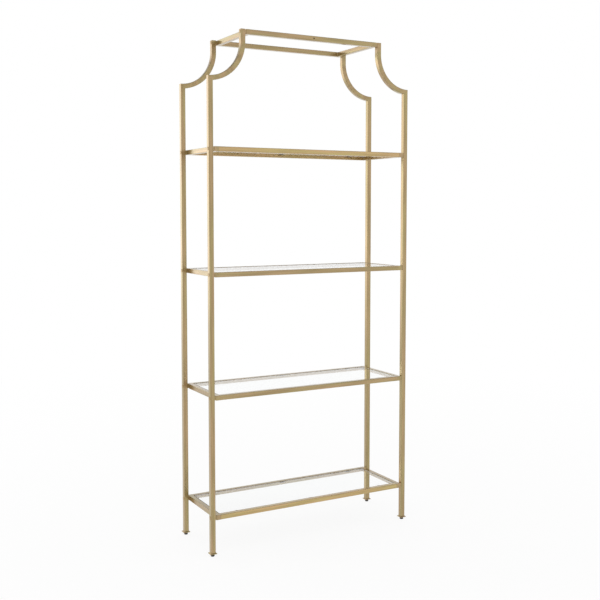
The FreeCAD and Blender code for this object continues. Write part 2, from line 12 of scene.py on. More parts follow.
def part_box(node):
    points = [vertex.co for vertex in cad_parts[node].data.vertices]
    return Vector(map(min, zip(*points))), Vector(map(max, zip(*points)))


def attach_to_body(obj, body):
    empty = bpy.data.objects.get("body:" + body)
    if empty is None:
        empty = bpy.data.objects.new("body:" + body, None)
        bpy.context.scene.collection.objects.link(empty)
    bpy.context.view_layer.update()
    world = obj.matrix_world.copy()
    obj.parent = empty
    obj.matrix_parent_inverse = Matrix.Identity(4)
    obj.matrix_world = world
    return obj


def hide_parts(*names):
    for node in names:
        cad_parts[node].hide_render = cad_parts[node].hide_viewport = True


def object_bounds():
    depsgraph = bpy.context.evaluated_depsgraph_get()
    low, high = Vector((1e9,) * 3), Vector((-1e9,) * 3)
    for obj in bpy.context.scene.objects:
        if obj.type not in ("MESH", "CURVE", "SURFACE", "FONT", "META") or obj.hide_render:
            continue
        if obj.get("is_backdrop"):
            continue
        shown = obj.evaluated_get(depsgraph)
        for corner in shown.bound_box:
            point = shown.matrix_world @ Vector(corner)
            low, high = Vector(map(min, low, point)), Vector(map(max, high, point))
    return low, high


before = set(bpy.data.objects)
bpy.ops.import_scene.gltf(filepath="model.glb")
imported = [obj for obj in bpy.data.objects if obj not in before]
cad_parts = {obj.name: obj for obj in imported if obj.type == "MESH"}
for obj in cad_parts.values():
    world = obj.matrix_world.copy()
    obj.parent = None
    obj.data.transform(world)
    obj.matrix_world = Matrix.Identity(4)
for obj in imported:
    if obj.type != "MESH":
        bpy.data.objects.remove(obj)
CAD_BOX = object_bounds()

# Looks of a tall open etagere: satin gold square tube, loose glass shelves and black levelling feet.
# Metres, +Z up, +X to the right, +Y to the back, origin on the floor below the middle.

Colour = tuple[float, float, float, float]
Point = tuple[float, float, float]
Ring = list[Vector]

LOG = logging.getLogger("etagere")
MM = 0.001
SHELF_NAMES = ("shelf_1", "shelf_2", "shelf_3", "shelf_4")
TUBE = 19.0 * MM
TUBE_CORNER = 1.4 * MM
CREASE_DEGREES = 40.0
WHITE: Colour = (1.0, 1.0, 1.0, 1.0)

# Places of the colour sockets among the inputs and outputs of a Mix node.
MIX_FIRST, MIX_SECOND, MIX_RESULT = 6, 7, 2


class Corner(Enum):
    """The four corners of the object, each with the sign of its X."""

    FRONT_LEFT = ("front_left", -1)
    FRONT_RIGHT = ("front_right", 1)
    REAR_LEFT = ("rear_left", -1)
    REAR_RIGHT = ("rear_right", 1)

    def __init__(self, label: str, side: int) -> None:
        """Keep the corner's label and sign as plain attributes."""
        self.label = label
        self.side = side


class Slot(Enum):
    """The record's material slots."""

    GOLD = "gold_metal"
    GLASS = "clear_glass"
    ZINC = "zinc_steel"


class Grain(Enum):
    """The way that the brushed streaks run, as texture scales along X, Y and Z."""

    ALONG_X = (4.0, 90.0, 90.0)
    ALONG_Y = (90.0, 4.0, 90.0)
    ALONG_Z = (90.0, 90.0, 4.0)
    ROUND = (30.0, 30.0, 30.0)


class Wiring:
    """A node tree with short ways to add nodes, set their sockets and join them."""

    def __init__(self, tree: bpy.types.NodeTree) -> None:
        """Keep the tree that the nodes go in.

        Args:
            tree: The node tree of a material, a world, a light or a group.
        """
        self.tree = tree

    def add(self, kind: str, sockets: dict | None = None, **settings: object) -> bpy.types.Node:
        """Add one node.

        Args:
            kind: The node's type name.
            sockets: Values for its input sockets, by name or index.
            **settings: Values for the node's own properties.

        Returns:
            The new node.
        """
        node = self.tree.nodes.new(kind)
        for name, setting in settings.items():
            setattr(node, name, setting)
        for name, number in (sockets or {}).items():
            node.inputs[name].default_value = number
        return node

    def join(self, source: bpy.types.NodeSocket, target: bpy.types.NodeSocket) -> None:
        """Link an output socket to an input socket."""
        self.tree.links.new(source, target)

    def blend(self, mask: bpy.types.NodeSocket, first: object, second: object) -> bpy.types.NodeSocket:
        """Mix two colours by a mask.

        Args:
            mask: The socket that chooses between them, 0 for the first.
            first: A colour socket or a colour.
            second: A colour socket or a colour.

        Returns:
            The mixed colour's socket.
        """
        node = self.add("ShaderNodeMix", data_type="RGBA")
        self.join(mask, node.inputs[0])
        for index, colour in ((MIX_FIRST, first), (MIX_SECOND, second)):
            if isinstance(colour, bpy.types.NodeSocket):
                self.join(colour, node.inputs[index])
            else:
                node.inputs[index].default_value = colour
        return node.outputs[MIX_RESULT]

    def remap(
        self, source: bpy.types.NodeSocket, low: float, high: float, easing: str = "LINEAR"
    ) -> bpy.types.NodeSocket:
        """Take the range low..high of a value to 0..1 and clamp it.

        Args:
            source: The value's socket.
            low: The value that becomes 0.
            high: The value that becomes 1; it may be the smaller one.
            easing: The range node's kind of interpolation.

        Returns:
            The new value's socket.
        """
        limits = {"From Min": low, "From Max": high}
        node = self.add("ShaderNodeMapRange", limits, interpolation_type=easing)
        self.join(source, node.inputs["Value"])
        return node.outputs["Result"]

    def combine(
        self, operation: str, first: bpy.types.NodeSocket, second: bpy.types.NodeSocket
    ) -> bpy.types.NodeSocket:
        """Join two values by one operation of the Math node.

        Args:
            operation: The operation's name, such as MULTIPLY.
            first: The first value's socket.
            second: The second value's socket.

        Returns:
            The result's socket.
        """
        node = self.add("ShaderNodeMath", operation=operation)
        self.join(first, node.inputs[0])
        self.join(second, node.inputs[1])
        return node.outputs[0]

    def times(self, first: bpy.types.NodeSocket, second: bpy.types.NodeSocket) -> bpy.types.NodeSocket:
        """Multiply two values."""
        return self.combine("MULTIPLY", first, second)


@dataclass(frozen=True)
class Noise:
    """A noise's scale and octaves, and the part of its range that a mask takes to 0..1."""

    scale: float
    detail: float
    low: float = 0.0
    high: float = 1.0


class Effects:
    """Surface effects that several finishes share, each one node group that is built once."""

    CLOUDS = Noise(0.9, 2.0, 0.38, 0.60)
    STREAKS = Noise(1.6, 6.0, 0.40, 0.66)
    BRUSHING = Noise(24.0, 3.0)
    PATCHES = Noise(2.0, 3.0, 0.30, 0.70)
    SPECKLES = Noise(45.0, 4.0, 0.35, 0.75)
    # The steepness at which dust begins to lie, and level, as the Z of a face's normal.
    UPWARD_NORMAL = (0.55, 1.0)

    def __init__(self) -> None:
        """Build the groups."""
        self.cloud = self.build_cloud()
        self.grain = self.build_grain()
        self.dust = self.build_dust()

    @staticmethod
    def new_group(
        name: str, inputs: Sequence[tuple[str, str]], outputs: Sequence[tuple[str, str]]
    ) -> tuple[Wiring, bpy.types.Node, bpy.types.Node]:
        """Make an empty node group with named sockets.

        Args:
            name: The group's name.
            inputs: Pairs of socket name and kind.
            outputs: Pairs of socket name and kind.

        Returns:
            The group's wiring, its input node and its output node.
        """
        tree = bpy.data.node_groups.new(name, "ShaderNodeTree")
        for way, sockets in (("INPUT", inputs), ("OUTPUT", outputs)):
            for label, kind in sockets:
                tree.interface.new_socket(label, in_out=way, socket_type="NodeSocket" + kind)
        wiring = Wiring(tree)
        return wiring, wiring.add("NodeGroupInput"), wiring.add("NodeGroupOutput")

    @staticmethod
    def stretched_noise(
        wiring: Wiring, stretch: bpy.types.NodeSocket, kind: Noise
    ) -> bpy.types.NodeSocket:
        """Add noise in object space, drawn out by a stretch vector.

        Args:
            wiring: The group to add it to.
            stretch: The socket with the scales along X, Y and Z.
            kind: The noise's own scale and octaves.

        Returns:
            The noise's value socket.
        """
        place = wiring.add("ShaderNodeTexCoord")
        mapping = wiring.add("ShaderNodeVectorMath", operation="MULTIPLY")
        wiring.join(place.outputs["Object"], mapping.inputs[0])
        wiring.join(stretch, mapping.inputs[1])
        noise = wiring.add("ShaderNodeTexNoise", {"Scale": kind.scale, "Detail": kind.detail})
        wiring.join(mapping.outputs[0], noise.inputs["Vector"])
        return noise.outputs[0]

    def build_cloud(self) -> bpy.types.NodeTree:
        """Build the hand-rubbed tint: broad warm clouds and fine darker streaks.

        Returns:
            The node group.
        """
        wiring, taken, given = self.new_group(
            "rubbed_tint",
            [("Stretch", "Vector"), ("Base", "Color"), ("Warm", "Color"), ("Shade", "Color"),
             ("Warmth", "Float"), ("Depth", "Float")],
            [("Color", "Color")],
        )
        colour = taken.outputs["Base"]
        for kind, amount, tint in ((self.CLOUDS, "Warmth", "Warm"), (self.STREAKS, "Depth", "Shade")):
            noise = self.stretched_noise(wiring, taken.outputs["Stretch"], kind)
            mask = wiring.times(wiring.remap(noise, kind.low, kind.high), taken.outputs[amount])
            colour = wiring.blend(mask, colour, taken.outputs[tint])
        wiring.join(colour, given.inputs["Color"])
        return wiring.tree

    def build_grain(self) -> bpy.types.NodeTree:
        """Build the fine satin grain: a roughness that wanders and a height for the bump.

        Returns:
            The node group.
        """
        wiring, taken, given = self.new_group(
            "satin_grain",
            [("Stretch", "Vector"), ("Smooth", "Float"), ("Rough", "Float")],
            [("Roughness", "Float"), ("Height", "Float")],
        )
        brushing = self.stretched_noise(wiring, taken.outputs["Stretch"], self.BRUSHING)
        patches = self.stretched_noise(wiring, taken.outputs["Stretch"], self.PATCHES)
        limits = {"From Min": self.PATCHES.low, "From Max": self.PATCHES.high}
        spread = wiring.add("ShaderNodeMapRange", limits)
        wiring.join(patches, spread.inputs["Value"])
        wiring.join(taken.outputs["Smooth"], spread.inputs["To Min"])
        wiring.join(taken.outputs["Rough"], spread.inputs["To Max"])
        wiring.join(spread.outputs["Result"], given.inputs["Roughness"])
        wiring.join(brushing, given.inputs["Height"])
        return wiring.tree

    def build_dust(self) -> bpy.types.NodeTree:
        """Build the faint dulling that gathers on upward faces.

        Returns:
            The node group.
        """
        wiring, taken, given = self.new_group(
            "settled_dust",
            [("Color", "Color"), ("Dust", "Color"), ("Amount", "Float")],
            [("Color", "Color")],
        )
        shape = wiring.add("ShaderNodeNewGeometry")
        split = wiring.add("ShaderNodeSeparateXYZ")
        wiring.join(shape.outputs["Normal"], split.inputs[0])
        kind = self.SPECKLES
        noise = wiring.add("ShaderNodeTexNoise", {"Scale": kind.scale, "Detail": kind.detail})
        wiring.join(wiring.add("ShaderNodeTexCoord").outputs["Object"], noise.inputs["Vector"])
        upward = wiring.remap(split.outputs["Z"], *self.UPWARD_NORMAL)
        speckles = wiring.remap(noise.outputs[0], kind.low, kind.high)
        mask = wiring.times(wiring.times(upward, speckles), taken.outputs["Amount"])
        dulled = wiring.blend(mask, taken.outputs["Color"], taken.outputs["Dust"])
        wiring.join(dulled, given.inputs["Color"])
        return wiring.tree


@dataclass(frozen=True)
class Finish:
    """A finish with a rubbed tint, a wandering roughness and a fine relief.

    The plain numbers go on the shader's own sockets, and what varies over the surface comes from the
    shared effects.
    """

    name: str
    base: Colour
    warm: Colour
    shade: Colour
    warmth: float = 0.5
    depth: float = 0.3
    metallic: float = 0.0
    smooth: float = 0.3
    rough: float = 0.4
    relief: float = 0.1
    relief_depth: float = 0.2 * MM
    dust: float = 0.0
    dust_colour: Colour = (0.62, 0.60, 0.55, 1.0)
    transmission: float = 0.0
    ior: float = 1.5
    coat: float = 0.0
    coat_roughness: float = 0.2

    def material(self, effects: Effects, grain: Grain = Grain.ROUND) -> bpy.types.Material:
        """Build the finish's material for one direction of grain.

        Args:
            effects: The shared effects.
            grain: The way that the streaks run.

        Returns:
            The new material, or the one already made for this grain.
        """
        label = f"{self.name}_{grain.name.lower()}"
        made = bpy.data.materials.get(label)
        if made:
            return made
        made = bpy.data.materials.new(label)
        made.use_nodes = True
        made.node_tree.nodes.clear()
        wiring = Wiring(made.node_tree)
        shader = wiring.add(
            "ShaderNodeBsdfPrincipled",
            {
                "Metallic": self.metallic,
                "Transmission Weight": self.transmission,
                "IOR": self.ior,
                "Coat Weight": self.coat,
                "Coat Roughness": self.coat_roughness,
            },
        )
        tint = wiring.add(
            "ShaderNodeGroup",
            {
                "Stretch": grain.value,
                "Base": self.base,
                "Warm": self.warm,
                "Shade": self.shade,
                "Warmth": self.warmth,
                "Depth": self.depth,
            },
            node_tree=effects.cloud,
        )
        satin = wiring.add(
            "ShaderNodeGroup",
            {"Stretch": grain.value, "Smooth": self.smooth, "Rough": self.rough},
            node_tree=effects.grain,
        )
        dulled = wiring.add(
            "ShaderNodeGroup", {"Dust": self.dust_colour, "Amount": self.dust}, node_tree=effects.dust
        )
        bump = wiring.add("ShaderNodeBump", {"Strength": self.relief, "Distance": self.relief_depth})
        wiring.join(tint.outputs["Color"], dulled.inputs["Color"])
        wiring.join(dulled.outputs["Color"], shader.inputs["Base Color"])
        wiring.join(satin.outputs["Roughness"], shader.inputs["Roughness"])
        wiring.join(satin.outputs["Height"], bump.inputs["Height"])
        wiring.join(bump.outputs["Normal"], shader.inputs["Normal"])
        end = wiring.add("ShaderNodeOutputMaterial")
        wiring.join(shader.outputs[0], end.inputs["Surface"])
        return made


SATIN_GOLD = Finish(
    "satin_gold",
    base=(0.420, 0.335, 0.145, 1.0),
    warm=(0.460, 0.310, 0.160, 1.0),
    shade=(0.270, 0.200, 0.085, 1.0),
    warmth=0.9,
    depth=0.55,
    metallic=0.8,
    smooth=0.20,
    rough=0.32,
    relief=0.04,
    dust=0.06,
    coat=0.6,
)
# Painted light: a lighter copy of the satin gold that stands in for the brighter light and reflections on
# three rails.
PAINTED_LIGHT_GOLD = replace(
    SATIN_GOLD,
    name="painted_light_gold",
    base=(0.550, 0.430, 0.172, 1.0),
    warm=(0.600, 0.396, 0.190, 1.0),
    shade=(0.352, 0.256, 0.100, 1.0),
)
GOLD_PLUG = Finish(
    "gold_plug",
    base=(0.460, 0.325, 0.145, 1.0),
    warm=(0.480, 0.320, 0.155, 1.0),
    shade=(0.350, 0.245, 0.105, 1.0),
    metallic=0.45,
    smooth=0.24,
    rough=0.34,
    relief=0.05,
)
CLEAR_GLASS = Finish(
    "clear_glass",
    base=(0.965, 0.972, 0.972, 1.0),
    warm=(0.960, 0.972, 0.966, 1.0),
    shade=(0.940, 0.955, 0.955, 1.0),
    warmth=0.5,
    depth=0.2,
    smooth=0.0,
    rough=0.004,
    relief=0.0,
    transmission=1.0,
    ior=1.5,
)
GLASS_RIM = Finish(
    "glass_rim",
    base=(0.120, 0.150, 0.150, 1.0),
    warm=(0.105, 0.145, 0.135, 1.0),
    shade=(0.070, 0.095, 0.095, 1.0),
    warmth=0.6,
    depth=0.35,
    smooth=0.05,
    rough=0.16,
    relief=0.04,
    transmission=1.0,
    ior=1.5,
)
BLACK_PLASTIC = Finish(
    "black_plastic",
    base=(0.012, 0.012, 0.012, 1.0),
    warm=(0.018, 0.017, 0.016, 1.0),
    shade=(0.006, 0.006, 0.006, 1.0),
    smooth=0.42,
    rough=0.58,
    relief=0.25,
    dust=0.05,
)
ZINC = Finish(
    "zinc_steel",
    base=(0.520, 0.530, 0.535, 1.0),
    warm=(0.580, 0.565, 0.520, 1.0),
    shade=(0.340, 0.350, 0.370, 1.0),
    warmth=0.6,
    depth=0.5,
    metallic=1.0,
    smooth=0.28,
    rough=0.44,
    relief=0.08,
)
SOFT_PAD = Finish(
    "soft_pad",
    base=(0.780, 0.790, 0.780, 1.0),
    warm=(0.800, 0.790, 0.750, 1.0),
    shade=(0.650, 0.660, 0.650, 1.0),
    smooth=0.35,
    rough=0.50,
    relief=0.06,
    transmission=0.6,
    ior=1.4,
)


def rounded_rectangle(half_x: float, half_y: float, radius: float, z: float, steps: int = 6) -> Ring:
    """Return a rectangle's outline with round corners, counter-clockwise in a level plane.

    Args:
        half_x: Half its size along X.
        half_y: Half its size along Y.
        radius: The radius of its corners.
        z: The plane's height.
        steps: The divisions of each corner.

    Returns:
        The outline's points.
    """
    points = []
    for quarter, (sign_x, sign_y) in enumerate(((1, 1), (-1, 1), (-1, -1), (1, -1))):
        for step in range(steps + 1):
            angle = math.radians(90 * quarter + 90 * step / steps)
            x = sign_x * (half_x - radius) + radius * math.cos(angle)
            y = sign_y * (half_y - radius) + radius * math.sin(angle)
            points.append(Vector((x, y, z)))
    return points


def sweep(
    mesh: bmesh.types.BMesh, rings: Sequence[Ring], looped: bool = False, side_index: int = 0
) -> None:
    """Join rings of equal length into a closed skin.

    Args:
        mesh: The mesh that the skin goes in.
        rings: The rings in order.
        looped: Whether the last ring joins the first; otherwise both ends are closed.
        side_index: The material index of the faces between rings.
    """
    made = [[mesh.verts.new(point) for point in ring] for ring in rings]
    count = len(made[0])
    pairs = list(zip(made, made[1:]))
    if looped:
        pairs.append((made[-1], made[0]))
    for lower, upper in pairs:
        for index in range(count):
            after = (index + 1) % count
            face = mesh.faces.new((lower[index], lower[after], upper[after], upper[index]))
            face.material_index = side_index
    if not looped:
        mesh.faces.new(list(reversed(made[0])))
        mesh.faces.new(made[-1])


def edge_rings(
    outline: Callable[[float, float], Ring], low: float, high: float, edge: float, steps: int = 3
) -> list[Ring]:
    """Return the rings of a slab whose two rims are rounded.

    Args:
        outline: Gives the slab's outline for an inset and a height.
        low: The height of its underside.
        high: The height of its upper side.
        edge: The radius of its rims.
        steps: The divisions of each rim.

    Returns:
        The rings from the underside up.
    """
    rings = []
    for step in range(steps + 1):
        angle = math.radians(90 * step / steps)
        rings.append(outline(edge * (1 - math.sin(angle)), low + edge * (1 - math.cos(angle))))
    for step in range(steps + 1):
        angle = math.radians(90 * step / steps)
        rings.append(outline(edge * (1 - math.cos(angle)), high - edge * (1 - math.sin(angle))))
    return rings


def fillet_section(leg: float, root: float, steps: int, hollow: float = 1.3) -> list[tuple[float, float]]:
    """Return the section of a weld bead that fills a square corner.

    Args:
        leg: Its reach along both walls.
        root: How far it goes into both walls, so that no gap shows.
        steps: The divisions of its face.
        hollow: The power that draws its face in; 1 is a quarter circle.

    Returns:
        The section's points, with the corner at the origin.
    """
    section = [(-root, -root), (leg, -root)]
    for step in range(steps + 1):
        angle = math.radians(90 * step / steps)
        section.append((leg * math.cos(angle) ** hollow, leg * math.sin(angle) ** hollow))
    section.append((-root, leg))
    return section


def new_piece(
    name: str, mesh: bmesh.types.BMesh, finishes: Sequence[bpy.types.Material]
) -> bpy.types.Object:
    """Turn a mesh into a smooth-shaded object with sharp creases kept.

    Args:
        name: The piece's name.
        mesh: Its mesh, which is freed.
        finishes: Its materials in the order of the faces' material indices.

    Returns:
        The new object.
    """
    bmesh.ops.recalc_face_normals(mesh, faces=mesh.faces)
    data = bpy.data.meshes.new(name)
    mesh.to_mesh(data)
    mesh.free()
    for finish in finishes:
        data.materials.append(finish)
    data.polygons.foreach_set("use_smooth", [True] * len(data.polygons))
    data.set_sharp_from_angle(angle=math.radians(CREASE_DEGREES))
    piece = bpy.data.objects.new(name, data)
    bpy.context.scene.collection.objects.link(piece)
    # Broad faces keep their own normal, so that only the narrow rims shade round.
    even = piece.modifiers.new("even_normals", "WEIGHTED_NORMAL")
    even.keep_sharp = True
    return piece


def attach(piece: bpy.types.Object, body: str, slot: Slot, *replaced: str) -> None:
    """Make a piece ride on a body and hide the nodes that it stands for.

    Args:
        piece: The new piece, in place.
        body: The body that carries it.
        slot: The record's slot that its finish belongs to; not used.
        *replaced: The nodes that it stands for.
    """
    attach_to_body(piece, body)
    if replaced:
        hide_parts(*replaced)
    LOG.info("%s rides on %s", piece.name, body)


def dress(node: str, finish: bpy.types.Material) -> None:
    """Give a CAD node its finish."""
    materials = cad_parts[node].data.materials
    materials.clear()
    materials.append(finish)
    LOG.info("%s takes %s", node, finish.name)


@dataclass
class Uprights:
    """The four posts with their arches and the plugs in their access holes."""

    effects: Effects

    def build(self) -> None:
        """Dress the posts, arches and plugs."""
        post_gold = SATIN_GOLD.material(self.effects, Grain.ALONG_Z)
        arch_gold = SATIN_GOLD.material(self.effects, Grain.ROUND)
        for corner in Corner:
            dress("post_" + corner.label, post_gold)
            dress("arch_" + corner.label, arch_gold)
        dress("access_plugs", GOLD_PLUG.material(self.effects))


@dataclass
class TubeFrames:
    """The shelf frames and the top frame, with their end caps, weld beads, spacers and fasteners."""

    effects: Effects
    tube: float = TUBE
    tube_corner: float = TUBE_CORNER
    cap: float = 2.0 * MM
    cap_rim: float = 0.5 * MM
    cap_rim_steps: int = 3
    bead_leg: float = 2.2 * MM
    bead_root: float = 0.3 * MM
    bead_steps: int = 6
    bead_sections: int = 48
    bead_ripple: float = 0.09
    ripple_pitch: float = 1.7 * MM
    seam_half_width: float = 0.8 * MM
    seam_height: float = 0.22 * MM
    seam_sink: float = 0.05 * MM
    seam_steps: int = 8
    seam_sections: int = 12
    seam_end: float = 0.04
    seam_fullness: float = 0.3
    # The rails that take the lighter gold as painted light.
    painted_light_rails: tuple[str, ...] = ("shelf_1_front_rail", "shelf_4_front_rail", "shelf_4_rear_rail")

    def build(self) -> None:
        """Dress the rails, three of them in a lighter copy of the gold that is painted light, then make the
        caps and the weld beads.
        """
        along_x = SATIN_GOLD.material(self.effects, Grain.ALONG_X)
        along_y = SATIN_GOLD.material(self.effects, Grain.ALONG_Y)
        # A lighter gold that paints brighter light on three rails.
        pale = PAINTED_LIGHT_GOLD.material(self.effects, Grain.ALONG_X)
        for name in (*SHELF_NAMES, "top"):
            for side in ("left", "right"):
                dress(f"{name}_{side}_rail", along_y)
            for depth in ("front", "rear"):
                rail = f"{name}_{depth}_rail"
                dress(rail, pale if rail in self.painted_light_rails else along_x)
            self.build_beads(name)
        self.build_caps()
        dress("corner_spacers", SATIN_GOLD.material(self.effects))
        dress("corner_bolts", ZINC.material(self.effects))
        dress("rivet_nuts", ZINC.material(self.effects))

    def build_caps(self) -> None:
        """Make the plates that close the tube ends, with softly ground rims."""
        mesh = bmesh.new()
        half = self.tube / 2

        def outline(inset: float, height: float) -> Ring:
            """Return the cap's outline at an inset and a height above the tube's end."""
            return rounded_rectangle(half - inset, half - inset, self.tube_corner - inset, height)

        rims = edge_rings(outline, 0.0, self.cap, self.cap_rim, self.cap_rim_steps)
        outer_rim = rims[self.cap_rim_steps + 1:]
        plate = [outline(0.0, 0.0), *outer_rim]
        for turn in self.cap_turns():
            sweep(mesh, [[turn @ point for point in ring] for ring in plate])
        gold = SATIN_GOLD.material(self.effects, Grain.ROUND)
        attach(new_piece("tube_end_caps_ground", mesh, [gold]), "frame", Slot.GOLD, "tube_end_caps")

    def cap_turns(self) -> list[Matrix]:
        """Return a place for each cap: both ends of every side rail and the tops of the arches."""
        turns = []
        for name in (*SHELF_NAMES, "top"):
            for side in ("left", "right"):
                low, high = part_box(f"{name}_{side}_rail")
                middle = (low + high) / 2
                for end, angle in ((low.y, 90), (high.y, -90)):
                    place = Matrix.Translation((middle.x, end, middle.z))
                    turns.append(place @ Matrix.Rotation(math.radians(angle), 4, "X"))
        for corner in Corner:
            low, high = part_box("arch_" + corner.label)
            inner = low.x if corner.side > 0 else high.x
            x = inner + corner.side * self.tube / 2
            turns.append(Matrix.Translation((x, (low.y + high.y) / 2, high.z)))
        return turns

    def build_beads(self, name: str) -> None:
        """Make the weld beads of one frame: a rippled fillet in each inner corner and ground seams.

        Args:
            name: The frame's name, which begins its nodes' names.
        """
        mesh = bmesh.new()
        for side, inward_x in (("left", 1), ("right", -1)):
            low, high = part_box(f"{name}_{side}_rail")
            face_x = high.x if inward_x > 0 else low.x
            for depth, inward_y in (("front", 1), ("rear", -1)):
                cross_low, cross_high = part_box(f"{name}_{depth}_rail")
                inner_y = cross_high.y if inward_y > 0 else cross_low.y
                outer_y = cross_low.y if inward_y > 0 else cross_high.y
                corner = Vector((face_x, inner_y, 0))
                self.add_corner_bead(mesh, corner, inward_x, inward_y, low.z, high.z)
                self.add_seams(mesh, face_x, outer_y, inward_y, low.z, high.z, name != "top")
        gold = SATIN_GOLD.material(self.effects, Grain.ROUND)
        attach(new_piece(f"{name}_weld_beads", mesh, [gold]), "frame", Slot.GOLD)

    def add_corner_bead(
        self, mesh: bmesh.types.BMesh, corner: Vector, inward_x: int, inward_y: int, low: float, high: float
    ) -> None:
        """Add the rippled fillet that fills one upright inner corner.

        Args:
            mesh: The mesh that it goes in.
            corner: The corner's place in plan.
            inward_x: The sign of the way from the corner along X.
            inward_y: The sign of the way from the corner along Y.
            low: The height of the tubes' underside.
            high: The height of the tubes' upper side.
        """
        start, end = low + self.tube_corner, high - self.tube_corner
        rings = []
        for index in range(self.bead_sections + 1):
            z = start + (end - start) * index / self.bead_sections
            swell = 1 + self.bead_ripple * math.sin(2 * math.pi * (z - start) / self.ripple_pitch)
            section = fillet_section(self.bead_leg * swell, self.bead_root, self.bead_steps)
            rings.append(
                [Vector((corner.x + inward_x * u, corner.y + inward_y * v, z)) for u, v in section]
            )
        sweep(mesh, rings)

    def add_seams(
        self,
        mesh: bmesh.types.BMesh,
        face_x: float,
        outer_y: float,
        inward_y: int,
        low: float,
        high: float,
        upper_too: bool,
    ) -> None:
        """Add the low ground seams on the outer, upper and lower faces of one butt joint.

        Args:
            mesh: The mesh that they go in.
            face_x: The plane of the joint.
            outer_y: The outer face of the cross rail.
            inward_y: The sign of the way from that face to the middle.
            low: The height of the tubes' underside.
            high: The height of the tubes' upper side.
            upper_too: Whether the upper face has one; the top frame's is ground flush.
        """
        margin = self.tube_corner
        inner_y = outer_y + inward_y * self.tube
        near_y, far_y = outer_y + inward_y * margin, inner_y - inward_y * margin
        upright = (Vector((face_x, outer_y, low + margin)), Vector((face_x, outer_y, high - margin)))
        upper = (Vector((face_x, near_y, high)), Vector((face_x, far_y, high)))
        lower = (Vector((face_x, near_y, low)), Vector((face_x, far_y, low)))
        seams = [(upright, (0, -inward_y, 0)), (lower, (0, 0, -1))]
        if upper_too:
            seams.append((upper, (0, 0, 1)))
        for (start, end), proud in seams:
            rings = []
            for index in range(self.seam_sections + 1):
                share = index / self.seam_sections
                centre = start.lerp(end, share)
                inside = min(max(share, self.seam_end), 1 - self.seam_end)
                fade = math.sin(math.pi * inside) ** self.seam_fullness
                ring = []
                for step in range(self.seam_steps + 1):
                    angle = math.pi * step / self.seam_steps
                    across = Vector((self.seam_half_width * math.cos(angle), 0, 0))
                    rise = self.seam_height * fade * math.sin(angle) - self.seam_sink
                    ring.append(centre + across + rise * Vector(proud))
                rings.append(ring)
            sweep(mesh, rings)


@dataclass
class GlassShelf:
    """One loose glass shelf with polished rims, and the welded tabs and soft pads that carry it."""

    effects: Effects
    name: str
    corner: float = 3.0 * MM
    corner_steps: int = 8
    rim: float = 0.7 * MM
    rim_steps: int = 2

    def build(self) -> None:
        """Make the pane and dress its tabs and pads."""
        low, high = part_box(self.name + "_glass")
        half = (high - low) / 2

        def outline(inset: float, height: float) -> Ring:
            """Return the pane's outline at an inset and a height."""
            sides = half.x - inset, half.y - inset
            return rounded_rectangle(*sides, self.corner - inset, height, self.corner_steps)

        mesh = bmesh.new()
        sweep(mesh, edge_rings(outline, low.z, high.z, self.rim, self.rim_steps), side_index=1)
        finishes = [CLEAR_GLASS.material(self.effects), GLASS_RIM.material(self.effects)]
        body = "glass_" + self.name
        pane = new_piece(self.name + "_pane", mesh, finishes)
        attach(pane, body, Slot.GLASS, self.name + "_glass")
        dress(self.name + "_glass_tabs", SATIN_GOLD.material(self.effects))
        dress(self.name + "_glass_pads", SOFT_PAD.material(self.effects))


